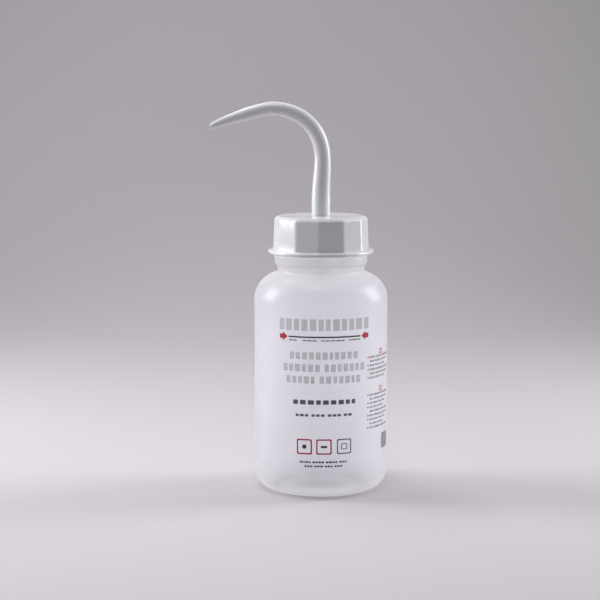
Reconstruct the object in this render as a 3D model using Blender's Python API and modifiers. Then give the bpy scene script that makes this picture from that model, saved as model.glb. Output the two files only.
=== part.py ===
"""Laboratory wash bottle: a round squeeze bottle with a twelve-sided screw cap and a bent delivery spout.

Frame: +Z up, origin at the centre of the bottle's base, the spout points along -X. Units: metres.
Each sub-part is one object in the collection "wash_bottle"; the cutters are in "wash_bottle_cutters".
"""

import math

import bmesh
import bpy
from mathutils import Matrix, Vector

MM = 0.001

# ---- clearances and finish --------------------------------------------------------------------------
SEAT_GAP = 0.3 * MM         # between two pieces that rest on each other
SLIP_GAP = 0.35 * MM        # radial gap of a piece that turns or slides in another
FACETS = 40                 # facets round every turned piece
OVERLAP = 0.5 * MM          # how deep joined shapes run into each other
OVERSHOOT = 2.0 * MM        # how far a cutter runs past what it cuts
WELD = 0.01 * MM            # points closer than this are one point

# ---- bottle -----------------------------------------------------------------------------------------
BODY_RADIUS = 37.5 * MM
BODY_WALL = 1.3 * MM
SIDE_HEIGHT = 107.4 * MM    # base to where the shoulder starts to curve
HEEL_RADIUS = 10.0 * MM
SHOULDER_RADIUS = 15.8 * MM
BASE_RING_DEPTH = 0.6 * MM  # shallow ring groove moulded into the base
BASE_RING_INNER = 12.0 * MM
BASE_LAND = 4.5 * MM        # flat ring the bottle stands on, between the groove and the heel
NECK_STEP = 1.6 * MM        # how far the neck below the collar stands out from the thread's root
NECK_WALL = 1.5 * MM
NECK_FILLET = 1.5 * MM
NECK_HEIGHT = 4.4 * MM      # shoulder's crown to the underside of the collar
COLLAR_STEP = 3.2 * MM      # how far the collar stands out from the thread's root
COLLAR_HEIGHT = 5.0 * MM
FINISH_RADIUS = 22.9 * MM   # root of the external thread
FINISH_WALL = 1.9 * MM
RIM_ROUND = 0.5 * MM

# ---- thread: one right-handed start, the same on the neck and in the cap -----------------------------
THREAD_PITCH = 5.0 * MM
THREAD_TURNS = 1.5
THREAD_HEIGHT = 1.2 * MM
THREAD_ROOT_WIDTH = 2.2 * MM
THREAD_CREST_WIDTH = 1.2 * MM
THREAD_BELOW_RIM = 3.2 * MM         # rim to the upper end of the neck's ridge
THREAD_LEAD_IN = 0.5 * MM           # cap's lower edge to the start of its own ridge

# ---- screw cap --------------------------------------------------------------------------------------
CAP_SIDES = 12
CAP_WALL = 1.7 * MM                 # at the middle of a flat, by the skirt
CAP_DRAFT = 0.7 * MM                # how much smaller the cap is at the top
CAP_EDGE_ROUND = 1.2 * MM
CAP_TOP_ROUND = 1.6 * MM
CAP_ROOF = 1.8 * MM
CAP_TURN = math.radians(-2.5)       # turn of the tightened cap; 0 has a corner facing -Y
CAP_COLLAR_GAP = 0.8 * MM           # cap's lower edge above the collar
SKIRT_REACH = 2.65 * MM             # how far the skirt ring stands out from the corners
SKIRT_HEIGHT = 2.4 * MM
BEAD_WIDTH = 0.7 * MM               # retaining bead under the liner, along the axis
BEAD_BITE = 0.3 * MM                # how far the liner reaches over the bead

# ---- closure stack, from the rim upwards --------------------------------------------------------------
GASKET_THICKNESS = 1.0 * MM
FLANGE_THICKNESS = 1.5 * MM         # the insert's flange over the rim
WEB_THICKNESS = 1.3 * MM
PLUG_DEPTH = 8.0 * MM               # how far the plug reaches below the rim
PLUG_WALL = 1.2 * MM
PLUG_LEAD = 1.2 * MM                # length of the plug's tapered lower end
SOCKET_WALL = 1.5 * MM
SOCKET_DEPTH = 9.0 * MM             # below the insert's top face
LINER_THICKNESS = 0.8 * MM

# ---- spout ------------------------------------------------------------------------------------------
SPOUT_FLANGE_WIDTH = 4.8 * MM       # how far the flange stands out from the foot
SPOUT_FLANGE_THICKNESS = 1.2 * MM
STEM_LENGTH = 11.0 * MM             # below the flange's top face
FOOT_RADIUS = 5.2 * MM
BEND_START_RADIUS = 4.55 * MM
APEX_RADIUS = 3.85 * MM
NOZZLE_START_RADIUS = 3.6 * MM
TIP_RADIUS = 1.5 * MM
SPOUT_BORE_RADIUS = 2.6 * MM        # from the stem to the nozzle
TIP_BORE_RADIUS = 0.7 * MM
STRAIGHT_FOOT = 10.0 * MM           # straight length above the cap, which the rising cap slides along
RISE_TO_BEND = 31.0 * MM            # cap's top to the start of the bend
LEAN_X = 0.9 * MM                   # the riser's slight lean away from the nozzle
APEX_X = -27.6 * MM
APEX_HEIGHT = 59.8 * MM             # the centreline's highest point above the cap
TIP_X = -61.5 * MM
TIP_HEIGHT = 49.9 * MM
TIP_SLOPE = math.radians(27.0)
BEND_HANDLES = (20.1 * MM, 13.9 * MM)
NOZZLE_HANDLES = (5.6 * MM, 5.7 * MM)
RISER_STEPS = 4                     # points on each stretch of the centreline
ARCH_STEPS = 14
REACH_STEPS = 12
NOZZLE_STEPS = 7                    # how many of the last stretch belong to the tapered nozzle

# ---- dip tube ---------------------------------------------------------------------------------------
DIP_RADIUS = 3.0 * MM
DIP_WALL = 0.8 * MM
DIP_GRIP = 8.0 * MM                 # length held in the spout's stem
DIP_FLOOR_GAP = 3.0 * MM            # lower end above the bottle's floor
DIP_LEAN = 9.3 * MM                 # sideways offset of the lower end
DIP_STRAIGHT = 15.0 * MM            # straight length below the stem

# ---- heights that follow ------------------------------------------------------------------------------
CROWN_Z = SIDE_HEIGHT + SHOULDER_RADIUS
COLLAR_Z = CROWN_Z + NECK_HEIGHT
FINISH_Z = COLLAR_Z + COLLAR_HEIGHT
CAP_BOTTOM_Z = FINISH_Z + CAP_COLLAR_GAP
CAP_THREAD_Z = CAP_BOTTOM_Z + THREAD_LEAD_IN + THREAD_ROOT_WIDTH / 2    # lower end of the cap's ridge
NECK_THREAD_Z = CAP_THREAD_Z + THREAD_PITCH / 2                         # lower end of the neck's ridge
RIM_Z = NECK_THREAD_Z + THREAD_PITCH * THREAD_TURNS + THREAD_BELOW_RIM
GASKET_Z = RIM_Z + SEAT_GAP
INSERT_FLANGE_Z = GASKET_Z + GASKET_THICKNESS + SEAT_GAP
INSERT_TOP_Z = INSERT_FLANGE_Z + FLANGE_THICKNESS
LINER_Z = INSERT_TOP_Z + SEAT_GAP
CAP_CEILING_Z = LINER_Z + LINER_THICKNESS + SEAT_GAP
CAP_TOP_Z = CAP_CEILING_Z + CAP_ROOF
STEM_Z = INSERT_TOP_Z - STEM_LENGTH
DIP_TOP_Z = STEM_Z + DIP_GRIP

# ---- radii that follow --------------------------------------------------------------------------------
BASE_RING_OUTER = BODY_RADIUS - HEEL_RADIUS - BASE_LAND
NECK_RADIUS = FINISH_RADIUS + NECK_STEP
COLLAR_RADIUS = FINISH_RADIUS + COLLAR_STEP
MOUTH_RADIUS = FINISH_RADIUS - FINISH_WALL
CAP_BORE_RADIUS = FINISH_RADIUS + THREAD_HEIGHT + SLIP_GAP
CAP_THREAD_RADIUS = CAP_BORE_RADIUS - THREAD_HEIGHT
CAP_CORNER_RADIUS = (CAP_BORE_RADIUS + CAP_WALL) / math.cos(math.pi / CAP_SIDES)
SKIRT_RADIUS = CAP_CORNER_RADIUS + SKIRT_REACH
CAP_HOLE_RADIUS = FOOT_RADIUS + SLIP_GAP
BEAD_RADIUS = CAP_THREAD_RADIUS - SLIP_GAP / 2
LINER_RADIUS = BEAD_RADIUS + BEAD_BITE
INSERT_RADIUS = BEAD_RADIUS - SLIP_GAP
PLUG_RADIUS = MOUTH_RADIUS - SLIP_GAP
SPOUT_FLANGE_RADIUS = FOOT_RADIUS + SPOUT_FLANGE_WIDTH
SOCKET_BORE_RADIUS = FOOT_RADIUS + SLIP_GAP
DIP_SOCKET_RADIUS = DIP_RADIUS + SEAT_GAP


# ---- scene helpers ------------------------------------------------------------------------------------
def clear_scene():
    for obj in list(bpy.data.objects):
        bpy.data.objects.remove(obj, do_unlink=True)


def new_collection(name):
    collection = bpy.data.collections.new(name)
    bpy.context.scene.collection.children.link(collection)
    return collection


def new_material(name, color, roughness, alpha=1.0):
    material = bpy.data.materials.new(name)
    material.use_nodes = True
    shader = material.node_tree.nodes["Principled BSDF"]
    shader.inputs["Base Color"].default_value = (*color, 1.0)
    shader.inputs["Roughness"].default_value = roughness
    shader.inputs["Metallic"].default_value = 0.0
    shader.inputs["Alpha"].default_value = alpha
    return material


def add_object(name, mesh, collection, material=None):
    obj = bpy.data.objects.new(name, mesh)
    collection.objects.link(obj)
    if material:
        mesh.materials.append(material)
    return obj


def bake(obj):
    """Replace the object's mesh with its evaluated one, so that no modifier is left on it."""
    evaluated = obj.evaluated_get(bpy.context.evaluated_depsgraph_get())
    mesh = bpy.data.meshes.new_from_object(evaluated)
    obj.modifiers.clear()
    obj.data = mesh


def weld(obj):
    """Merge the points that coincide and turn the faces outward."""
    bm = bmesh.new()
    bm.from_mesh(obj.data)
    bmesh.ops.remove_doubles(bm, verts=bm.verts, dist=WELD)
    bmesh.ops.dissolve_degenerate(bm, edges=bm.edges, dist=WELD)
    bmesh.ops.recalc_face_normals(bm, faces=bm.faces)
    bm.to_mesh(obj.data)
    bm.free()


def set_origin(obj, height):
    """Put the object's origin on the bottle's axis at this height; the shape stays where it is."""
    obj.data.transform(Matrix.Translation((0.0, 0.0, -height)))
    obj.location.z = height


def shade_smooth(obj, sharp_degrees=35.0):
    obj.data.shade_smooth()
    obj.data.set_sharp_from_angle(angle=math.radians(sharp_degrees))


def as_cutter(obj):
    obj.hide_render = True
    obj.display_type = "WIRE"
    return obj


def boolean(obj, other, operation):
    modifier = obj.modifiers.new(operation.lower() + "_" + other.name, "BOOLEAN")
    modifier.object = other
    modifier.operation = operation
    modifier.solver = "EXACT"


# ---- shape helpers ------------------------------------------------------------------------------------
def arc(center, radius, start_deg, end_deg, steps):
    """Points (r, z) on an arc, both ends included."""
    points = []
    for i in range(steps + 1):
        angle = math.radians(start_deg + (end_deg - start_deg) * i / steps)
        points.append((center[0] + radius * math.cos(angle), center[1] + radius * math.sin(angle)))
    return points


def turned(name, profile, collection, material=None, closed=False):
    """Turn the (r, z) profile round Z. It runs down its outer side, from top to bottom."""
    mesh = bpy.data.meshes.new(name)
    edges = [(i, i + 1) for i in range(len(profile) - 1)]
    if closed:
        edges.append((len(profile) - 1, 0))
    mesh.from_pydata([(r, 0.0, z) for r, z in profile], edges, [])
    obj = add_object(name, mesh, collection, material)
    screw = obj.modifiers.new("turn", "SCREW")
    screw.axis = "Z"
    screw.angle = math.tau
    screw.steps = FACETS
    screw.render_steps = FACETS
    screw.use_merge_vertices = True
    screw.merge_threshold = WELD
    bake(obj)
    weld(obj)
    return obj


def turned_ring(name, inner, outer, low, high, collection, material=None):
    profile = [(inner, high), (outer, high), (outer, low), (inner, low)]
    return turned(name, profile, collection, material, closed=True)


def turned_disc(name, radius, low, high, collection):
    return turned(name, [(0.0, high), (radius, high), (radius, low), (0.0, low)], collection)


def thread_ridge(name, root_radius, crest_radius, low_z, collection):
    """A helical ridge whose ends fade into the wall. Its root is sunk into the wall by OVERLAP."""
    outward = math.copysign(1.0, crest_radius - root_radius)
    sunk_radius = root_radius - outward * OVERLAP
    count = round(FACETS * THREAD_TURNS)
    fade = FACETS // 8
    mesh = bpy.data.meshes.new(name)
    bm = bmesh.new()
    rings = []
    for i in range(count + 1):
        angle = math.tau * THREAD_TURNS * i / count
        z = low_z + THREAD_PITCH * THREAD_TURNS * i / count
        share = min(1.0, (min(i, count - i) + 0.4) / fade)
        crest = root_radius + (crest_radius - root_radius) * share
        section = [
            (sunk_radius, z + THREAD_ROOT_WIDTH / 2),
            (crest, z + THREAD_CREST_WIDTH / 2 * share),
            (crest, z - THREAD_CREST_WIDTH / 2 * share),
            (sunk_radius, z - THREAD_ROOT_WIDTH / 2),
        ]
        ring = [bm.verts.new((r * math.cos(angle), r * math.sin(angle), h)) for r, h in section]
        rings.append(ring)
    for near, far in zip(rings, rings[1:]):
        for k in range(4):
            bm.faces.new((near[k], near[(k + 1) % 4], far[(k + 1) % 4], far[k]))
    bm.faces.new(rings[0])
    bm.faces.new(list(reversed(rings[-1])))
    bmesh.ops.recalc_face_normals(bm, faces=bm.faces)
    bm.to_mesh(mesh)
    bm.free()
    return as_cutter(add_object(name, mesh, collection))


def bezier(start, start_handle, end_handle, end, steps):
    """Points on a cubic curve, the start left out and the end included."""
    points = []
    for i in range(1, steps + 1):
        t = i / steps
        u = 1.0 - t
        handles = start_handle * 3 * u * u * t + end_handle * 3 * u * t * t
        points.append(start * u**3 + handles + end * t**3)
    return points


def swept(name, points, radii, collection, material=None, resolution=6):
    """A solid round bar along the points, with its own radius at each, as a closed mesh."""
    curve = bpy.data.curves.new(name, "CURVE")
    curve.dimensions = "3D"
    curve.bevel_depth = 1.0
    curve.bevel_resolution = resolution
    curve.use_fill_caps = True
    spline = curve.splines.new("POLY")
    spline.points.add(len(points) - 1)
    for target, point, radius in zip(spline.points, points, radii):
        target.co = (*point, 1.0)
        target.radius = radius
    source = bpy.data.objects.new(name + "_curve", curve)
    collection.objects.link(source)
    evaluated = source.evaluated_get(bpy.context.evaluated_depsgraph_get())
    mesh = bpy.data.meshes.new_from_object(evaluated)
    mesh.name = name
    obj = add_object(name, mesh, collection, material)
    obj.matrix_world = source.matrix_world
    bpy.data.objects.remove(source, do_unlink=True)
    weld(obj)
    return obj


# ---- paths --------------------------------------------------------------------------------------------
def spout_path():
    """Centreline of the spout from the stem's lower end to the tip, and the outer radius at each point."""
    foot_top = Vector((0.0, 0.0, CAP_TOP_Z + STRAIGHT_FOOT))
    bend = Vector((LEAN_X, 0.0, CAP_TOP_Z + RISE_TO_BEND))
    apex = Vector((APEX_X, 0.0, CAP_TOP_Z + APEX_HEIGHT))
    tip = Vector((TIP_X, 0.0, CAP_TOP_Z + TIP_HEIGHT))
    up = Vector((0.0, 0.0, 1.0))
    back = Vector((-1.0, 0.0, 0.0))
    tip_dir = Vector((-math.cos(TIP_SLOPE), 0.0, -math.sin(TIP_SLOPE)))
    lean = (RISE_TO_BEND - STRAIGHT_FOOT) / 3

    points = [Vector((0.0, 0.0, STEM_Z)), Vector((0.0, 0.0, CAP_TOP_Z)), foot_top]
    radii = [FOOT_RADIUS] * 3

    def add_curve(curve_points, start_radius, end_radius):
        for i, point in enumerate(curve_points, 1):
            points.append(point)
            radii.append(start_radius + (end_radius - start_radius) * i / len(curve_points))

    riser = bezier(foot_top, foot_top + up * lean, bend - up * lean, bend, RISER_STEPS)
    arch_handles = (bend + up * BEND_HANDLES[0], apex - back * BEND_HANDLES[1])
    arch = bezier(bend, *arch_handles, apex, ARCH_STEPS)
    reach_handles = (apex + back * NOZZLE_HANDLES[0], tip - tip_dir * NOZZLE_HANDLES[1])
    reach = bezier(apex, *reach_handles, tip, REACH_STEPS)
    add_curve(riser, FOOT_RADIUS, BEND_START_RADIUS)
    add_curve(arch, BEND_START_RADIUS, APEX_RADIUS)
    add_curve(reach[:-NOZZLE_STEPS], APEX_RADIUS, NOZZLE_START_RADIUS)
    add_curve(reach[-NOZZLE_STEPS:], NOZZLE_START_RADIUS, TIP_RADIUS)
    return points, radii


def dip_path():
    """Centreline of the dip tube from its top down to the bottle's floor."""
    lean_top_z = STEM_Z - DIP_STRAIGHT
    low_z = BASE_RING_DEPTH + BODY_WALL + DIP_FLOOR_GAP
    points = [Vector((0.0, 0.0, DIP_TOP_Z)), Vector((0.0, 0.0, STEM_Z)), Vector((0.0, 0.0, lean_top_z))]
    steps = 10
    for i in range(1, steps + 1):
        share = i / steps
        z = lean_top_z + (low_z - lean_top_z) * share
        points.append(Vector((-DIP_LEAN * share**1.5, 0.0, z)))
    return points


def run_past_ends(points, length):
    """The same path, longer by this much at both ends."""
    first = points[0] + (points[0] - points[1]).normalized() * length
    last = points[-1] + (points[-1] - points[-2]).normalized() * length
    return [first] + points + [last]


# ---- sub-parts ----------------------------------------------------------------------------------------
def bottle_profile():
    """From the floor's centre up the inner side to the rim, then down the outer side to the base."""
    shoulder_center = (BODY_RADIUS - SHOULDER_RADIUS, SIDE_HEIGHT)
    inner_radius = BODY_RADIUS - BODY_WALL
    inner_heel = max(HEEL_RADIUS - BODY_WALL, BODY_WALL)
    inner_shoulder = SHOULDER_RADIUS - BODY_WALL
    floor = BASE_RING_DEPTH + BODY_WALL
    neck_bore = NECK_RADIUS - NECK_WALL
    bore_angle = math.degrees(math.acos((neck_bore - shoulder_center[0]) / inner_shoulder))

    points = [(0.0, floor)]
    points += arc((inner_radius - inner_heel, floor + inner_heel), inner_heel, -90.0, 0.0, 5)
    points += arc(shoulder_center, inner_shoulder, 0.0, bore_angle, 8)
    points += [(neck_bore, COLLAR_Z), (MOUTH_RADIUS, FINISH_Z), (MOUTH_RADIUS, RIM_Z - RIM_ROUND)]

    points += [
        (MOUTH_RADIUS + RIM_ROUND, RIM_Z),
        (FINISH_RADIUS - RIM_ROUND, RIM_Z),
        (FINISH_RADIUS, RIM_Z - RIM_ROUND),
        (FINISH_RADIUS, FINISH_Z),
        (COLLAR_RADIUS - RIM_ROUND, FINISH_Z),
        (COLLAR_RADIUS, FINISH_Z - RIM_ROUND),
        (COLLAR_RADIUS, COLLAR_Z + RIM_ROUND),
        (COLLAR_RADIUS - RIM_ROUND, COLLAR_Z),
        (NECK_RADIUS, COLLAR_Z),
    ]
    # a small fillet runs from the neck into the shoulder, tangent to both
    reach = SHOULDER_RADIUS + NECK_FILLET
    fillet_out = NECK_RADIUS + NECK_FILLET - shoulder_center[0]
    fillet_center = (NECK_RADIUS + NECK_FILLET, SIDE_HEIGHT + math.sqrt(reach**2 - fillet_out**2))
    touch_angle = math.degrees(math.acos(fillet_out / reach))
    points += arc(fillet_center, NECK_FILLET, 180.0, 180.0 + touch_angle, 3)
    points += arc(shoulder_center, SHOULDER_RADIUS, touch_angle, 0.0, 9)[1:]
    points += arc((BODY_RADIUS - HEEL_RADIUS, HEEL_RADIUS), HEEL_RADIUS, 0.0, -90.0, 6)
    points += [
        (BASE_RING_OUTER, 0.0),
        (BASE_RING_OUTER - BASE_RING_DEPTH, BASE_RING_DEPTH),
        (BASE_RING_INNER + BASE_RING_DEPTH, BASE_RING_DEPTH),
        (BASE_RING_INNER, 0.0),
        (0.0, 0.0),
    ]
    return points


def make_bottle(parts, cutters):
    material = new_material("ldpe_milky", (0.86, 0.86, 0.89), 0.45, alpha=0.6)
    bottle = turned("bottle", bottle_profile(), parts, material)
    crest_radius = FINISH_RADIUS + THREAD_HEIGHT
    ridge = thread_ridge("neck_ridge", FINISH_RADIUS, crest_radius, NECK_THREAD_Z, cutters)
    boolean(bottle, ridge, "UNION")
    bake(bottle)
    shade_smooth(bottle)


def make_screw_cap(parts, cutters):
    """Twelve-sided block on a skirt ring, bored out, with a thread and a retaining bead inside."""
    material = new_material("pp_white_gloss", (0.80, 0.81, 0.83), 0.15)
    block_z = CAP_BOTTOM_Z + SKIRT_HEIGHT / 2
    height = CAP_TOP_Z - block_z
    mesh = bpy.data.meshes.new("screw_cap")
    bm = bmesh.new()
    bmesh.ops.create_cone(
        bm,
        cap_ends=True,
        segments=CAP_SIDES,
        radius1=CAP_CORNER_RADIUS,
        radius2=CAP_CORNER_RADIUS - CAP_DRAFT,
        depth=height,
        matrix=Matrix.Translation((0.0, 0.0, block_z + height / 2)) @ Matrix.Rotation(CAP_TURN, 4, "Z"),
    )
    corners = [edge for edge in bm.edges if abs(edge.verts[0].co.z - edge.verts[1].co.z) > height / 2]
    bmesh.ops.bevel(bm, geom=corners, offset=CAP_EDGE_ROUND, segments=3, profile=0.5, affect="EDGES")
    rim = [edge for edge in bm.edges if all(vert.co.z > CAP_TOP_Z - WELD for vert in edge.verts)]
    bmesh.ops.bevel(bm, geom=rim, offset=CAP_TOP_ROUND, segments=4, profile=0.5, affect="EDGES")
    bm.to_mesh(mesh)
    bm.free()
    cap = add_object("screw_cap", mesh, parts, material)

    ring_round = SKIRT_HEIGHT / 2
    ring_inner = CAP_BORE_RADIUS - OVERLAP
    ring_profile = [(ring_inner, CAP_BOTTOM_Z + SKIRT_HEIGHT)]
    ring_profile += arc((SKIRT_RADIUS - ring_round, CAP_BOTTOM_Z + ring_round), ring_round, 90.0, -90.0, 6)
    ring_profile += [(ring_inner, CAP_BOTTOM_Z)]
    skirt = as_cutter(turned("cap_skirt", ring_profile, cutters, closed=True))

    bore = as_cutter(
        turned_disc("cap_bore", CAP_BORE_RADIUS, CAP_BOTTOM_Z - OVERSHOOT, CAP_CEILING_Z, cutters)
    )
    hole = as_cutter(
        turned_disc("cap_hole", CAP_HOLE_RADIUS, CAP_CEILING_Z - OVERSHOOT, CAP_TOP_Z + OVERSHOOT, cutters)
    )
    bead_top = LINER_Z - SEAT_GAP
    bead_root = CAP_BORE_RADIUS + OVERLAP
    bead = as_cutter(
        turned_ring("cap_bead", BEAD_RADIUS, bead_root, bead_top - BEAD_WIDTH, bead_top, cutters)
    )
    ridge = thread_ridge("cap_ridge", CAP_BORE_RADIUS, CAP_THREAD_RADIUS, CAP_THREAD_Z, cutters)
    boolean(cap, skirt, "UNION")
    boolean(cap, bore, "DIFFERENCE")
    boolean(cap, hole, "DIFFERENCE")
    boolean(cap, bead, "UNION")
    boolean(cap, ridge, "UNION")
    bake(cap)
    shade_smooth(cap)
    set_origin(cap, CAP_BOTTOM_Z)


def make_cap_liner(parts):
    material = new_material("liner_foam", (0.90, 0.90, 0.90), 0.7)
    high = LINER_Z + LINER_THICKNESS
    liner = turned_ring("cap_liner", CAP_HOLE_RADIUS, LINER_RADIUS, LINER_Z, high, parts, material)
    shade_smooth(liner)
    set_origin(liner, LINER_Z)


def make_sealing_insert(parts):
    """Flange over the rim, plug in the mouth, and a socket round the spout's stem."""
    material = new_material("ldpe_natural", (0.84, 0.85, 0.87), 0.4)
    plug_z = RIM_Z - PLUG_DEPTH
    plug_bore = PLUG_RADIUS - PLUG_WALL
    recess = SPOUT_FLANGE_RADIUS + SLIP_GAP
    recess_z = INSERT_TOP_Z - SPOUT_FLANGE_THICKNESS - SEAT_GAP
    web_z = recess_z - WEB_THICKNESS
    socket_z = INSERT_TOP_Z - SOCKET_DEPTH
    socket_radius = SOCKET_BORE_RADIUS + SOCKET_WALL
    profile = [
        (recess, INSERT_TOP_Z),
        (INSERT_RADIUS, INSERT_TOP_Z),
        (INSERT_RADIUS, INSERT_FLANGE_Z),
        (PLUG_RADIUS, INSERT_FLANGE_Z),
        (PLUG_RADIUS, plug_z + PLUG_LEAD),
        (PLUG_RADIUS - PLUG_WALL / 2, plug_z),
        (plug_bore, plug_z),
        (plug_bore, INSERT_FLANGE_Z),
        (recess + WEB_THICKNESS, INSERT_FLANGE_Z),
        (recess + WEB_THICKNESS, web_z),
        (socket_radius, web_z),
        (socket_radius, socket_z),
        (SOCKET_BORE_RADIUS, socket_z),
        (SOCKET_BORE_RADIUS, recess_z),
        (recess, recess_z),
    ]
    insert = turned("sealing_insert", profile, parts, material, closed=True)
    shade_smooth(insert)
    set_origin(insert, RIM_Z)


def make_rim_gasket(parts):
    material = new_material("gasket_soft", (0.80, 0.80, 0.80), 0.8)
    inner = PLUG_RADIUS + SLIP_GAP
    high = GASKET_Z + GASKET_THICKNESS
    gasket = turned_ring("rim_gasket", inner, INSERT_RADIUS, GASKET_Z, high, parts, material)
    shade_smooth(gasket)
    set_origin(gasket, GASKET_Z)


def make_spout(parts, cutters):
    """Tapered bent tube with a flange, a bore that narrows in the nozzle, and a seat for the dip tube."""
    material = new_material("ldpe_spout", (0.74, 0.76, 0.80), 0.3)
    points, radii = spout_path()
    spout = swept("spout", points, radii, parts, material)
    flange_z = INSERT_TOP_Z - SPOUT_FLANGE_THICKNESS
    flange = as_cutter(turned_disc("spout_flange", SPOUT_FLANGE_RADIUS, flange_z, INSERT_TOP_Z, cutters))
    bore_radii = [SPOUT_BORE_RADIUS] * (len(points) - NOZZLE_STEPS)
    for i in range(1, NOZZLE_STEPS + 1):
        bore_radii.append(SPOUT_BORE_RADIUS + (TIP_BORE_RADIUS - SPOUT_BORE_RADIUS) * i / NOZZLE_STEPS)
    bore_points = run_past_ends(points, OVERSHOOT)
    bore_radii = [bore_radii[0]] + bore_radii + [bore_radii[-1]]
    bore = as_cutter(swept("spout_bore", bore_points, bore_radii, cutters))
    seat = as_cutter(
        turned_disc("dip_seat", DIP_SOCKET_RADIUS, STEM_Z - OVERSHOOT, DIP_TOP_Z + SEAT_GAP, cutters)
    )
    boolean(spout, flange, "UNION")
    boolean(spout, bore, "DIFFERENCE")
    boolean(spout, seat, "DIFFERENCE")
    bake(spout)
    shade_smooth(spout)
    set_origin(spout, INSERT_TOP_Z)


def make_dip_tube(parts, cutters):
    material = new_material("dip_tube_pe", (0.88, 0.88, 0.90), 0.3)
    points = dip_path()
    tube = swept("dip_tube", points, [DIP_RADIUS] * len(points), parts, material, resolution=4)
    bore_points = run_past_ends(points, OVERSHOOT)
    bore_radii = [DIP_RADIUS - DIP_WALL] * len(bore_points)
    bore = as_cutter(swept("dip_bore", bore_points, bore_radii, cutters, resolution=4))
    boolean(tube, bore, "DIFFERENCE")
    bake(tube)
    shade_smooth(tube)
    set_origin(tube, DIP_TOP_Z)


def main():
    clear_scene()
    parts = new_collection("wash_bottle")
    cutters = new_collection("wash_bottle_cutters")
    make_bottle(parts, cutters)
    make_sealing_insert(parts)
    make_rim_gasket(parts)
    make_cap_liner(parts)
    make_spout(parts, cutters)
    make_dip_tube(parts, cutters)
    make_screw_cap(parts, cutters)


main()
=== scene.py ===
"""Looks of the laboratory wash bottle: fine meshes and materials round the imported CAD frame.

Frame: +Z up, origin at the centre of the bottle's base, the spout points along -X and the printed side
faces -Y. Sizes below are millimetres; a mesh is scaled to metres when it is made.
"""

import math
import random

import bmesh
import bpy
from mathutils import Matrix, Vector


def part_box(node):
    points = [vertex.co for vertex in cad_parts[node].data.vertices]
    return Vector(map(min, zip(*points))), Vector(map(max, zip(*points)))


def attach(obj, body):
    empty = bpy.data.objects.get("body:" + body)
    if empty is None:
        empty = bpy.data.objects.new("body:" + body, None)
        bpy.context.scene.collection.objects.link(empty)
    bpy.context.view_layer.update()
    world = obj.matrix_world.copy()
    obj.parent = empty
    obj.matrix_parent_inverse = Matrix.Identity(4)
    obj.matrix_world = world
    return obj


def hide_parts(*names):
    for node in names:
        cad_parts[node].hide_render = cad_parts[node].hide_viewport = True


MM = 0.001

# ---- mesh fineness ------------------------------------------------------------------------------------
SEGMENTS = 160              # round a turned piece
TUBE_SEGMENTS = 48          # round the spout and the dip tube
SHARP_DEGREES = 38.0
TINY = 1e-6

# ---- bottle -------------------------------------------------------------------------------------------
BODY_WALL = 1.3
SIDE_HEIGHT = 107.4
HEEL_RADIUS = 10.0
SHOULDER_RADIUS = 15.8
BASE_RING_DEPTH = 0.6
BASE_RING_INNER = 12.0
BASE_LAND = 4.5
NECK_STEP = 1.6
NECK_WALL = 1.5
NECK_FILLET = 1.5
NECK_HEIGHT = 4.4
COLLAR_STEP = 3.2
COLLAR_HEIGHT = 5.0
FINISH_RADIUS = 22.9
FINISH_WALL = 1.9
BASE_ROUND = 0.5
COLLAR_ROUND = 0.6          # of the collar and of the rim
SEAM_RISE = 0.09            # parting line of the mould, proud of the wall
SEAM_HALF_WIDTH = 0.35

# ---- thread -------------------------------------------------------------------------------------------
THREAD_PITCH = 5.0
THREAD_TURNS = 1.5
THREAD_HEIGHT = 1.2
THREAD_ROOT_WIDTH = 2.2
THREAD_CREST_WIDTH = 1.2
THREAD_FADE = 0.125         # turns over which each end of the ridge fades out
THREAD_ROW = 0.22           # height of one row of faces on a threaded wall
THREAD_LEAD_IN = 0.5
THREAD_MARGIN = 0.2         # plain wall beside the ridge that still has thread rows

# ---- screw cap ----------------------------------------------------------------------------------------
CAP_SIDES = 12
CAP_WALL = 1.7
CAP_DRAFT = 0.7
CAP_EDGE_ROUND = 1.2        # width of the rounding on each flat beside a corner
CAP_TOP_ROUND = 1.6         # width of the bevel round the top
BEVEL_SOFTENING = 0.5
CAP_ROOF = 1.8
CAP_TURN = math.radians(-2.5)
SKIRT_REACH = 2.65
SKIRT_HEIGHT = 2.4
SKIRT_FILLET = 0.5
CAP_HOLE_ROUND = 0.35
CAP_INSIDE_ROUND = 0.25
BEAD_WIDTH = 0.7
SLIP_GAP = 0.35
SEAT_GAP = 0.3
FLAT_STEPS = 6              # faces across one flat of the cap
CORNER_STEPS = 6            # faces round one corner of the cap

# ---- closure ------------------------------------------------------------------------------------------
WEB_THICKNESS = 1.3
PLUG_WALL = 1.2
PLUG_LEAD = 1.2
SOCKET_WALL = 1.5
SOCKET_DEPTH = 9.0
FLANGE_THICKNESS = 1.5
INSERT_ROUND = 0.25
GASKET_ROUND = 0.3
LINER_ROUND = 0.2

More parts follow.
